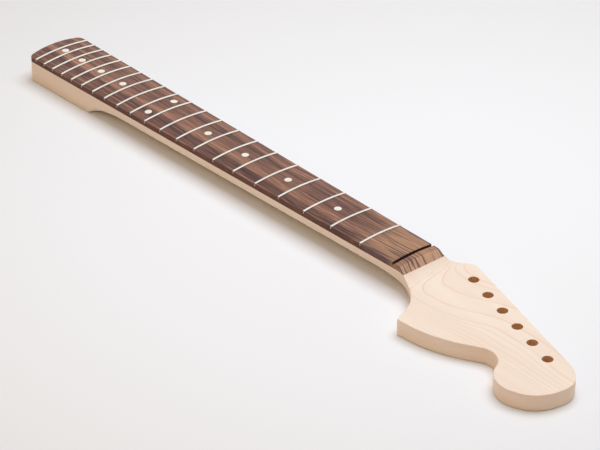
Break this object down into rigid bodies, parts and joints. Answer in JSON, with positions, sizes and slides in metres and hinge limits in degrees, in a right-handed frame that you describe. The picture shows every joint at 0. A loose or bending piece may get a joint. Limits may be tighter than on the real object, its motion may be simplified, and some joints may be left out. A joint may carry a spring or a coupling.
{
  "type": "electric guitar neck",
  "caption": "Bolt-on maple neck with a rosewood fingerboard, frets, dot inlays, an empty nut slot and an in-line headstock with open tuner holes; truss rod adjusts at the heel",
  "frame": {"origin": "on the flat back of the heel, in the middle of the four neck screw holes; the plane Z = 0 also holds the headstock's back, so the neck lies on it", "axes": "+X along the neck from the heel to the tip of the headstock, +Y across the neck towards the bass strings, +Z out of the fingerboard"},
  "size_m": [0.6719, 0.1045, 0.0264],
  "materials": {
    "maple": "satin",
    "rosewood": "satin",
    "nickel_silver": "polished",
    "ivory_plastic": "satin",
    "steel": "brushed"
  },
  "bodies": {
    "neck_assembly": {"neck": "maple", "fingerboard": "rosewood", "fret_01": "nickel_silver", "fret_02": "nickel_silver", "fret_03": "nickel_silver", "fret_04": "nickel_silver", "fret_05": "nickel_silver", "fret_06": "nickel_silver", "fret_07": "nickel_silver", "fret_08": "nickel_silver", "fret_09": "nickel_silver", "fret_10": "nickel_silver", "fret_11": "nickel_silver", "fret_12": "nickel_silver", "fret_13": "nickel_silver", "fret_14": "nickel_silver", "fret_15": "nickel_silver", "fret_16": "nickel_silver", "fret_17": "nickel_silver", "fret_18": "nickel_silver", "fret_19": "nickel_silver", "fret_20": "nickel_silver", "fret_21": "nickel_silver", "dot_03": "ivory_plastic", "dot_05": "ivory_plastic", "dot_07": "ivory_plastic", "dot_09": "ivory_plastic", "dot_12_a": "ivory_plastic", "dot_12_b": "ivory_plastic", "dot_15": "ivory_plastic", "dot_17": "ivory_plastic", "dot_19": "ivory_plastic", "dot_21": "ivory_plastic", "side_dot_03": "ivory_plastic", "side_dot_05": "ivory_plastic", "side_dot_07": "ivory_plastic", "side_dot_09": "ivory_plastic", "side_dot_12_a": "ivory_plastic", "side_dot_12_b": "ivory_plastic", "side_dot_15": "ivory_plastic", "side_dot_17": "ivory_plastic", "side_dot_19": "ivory_plastic", "side_dot_21": "ivory_plastic", "truss_rod": "steel", "truss_rod_anchor": "steel", "truss_rod_washer": "steel", "truss_rod_filler": "maple"},
    "truss_nut": {"truss_rod_nut": "steel"}
  },
  "joints": [
    {"name": "truss_nut_turn", "type": "hinge", "parent": "neck_assembly", "child": "truss_nut", "pos_m": [-0.03445, 0, 0.0127], "axis": [1, 0, 0], "range_deg": [-225, 405]}
  ]
}
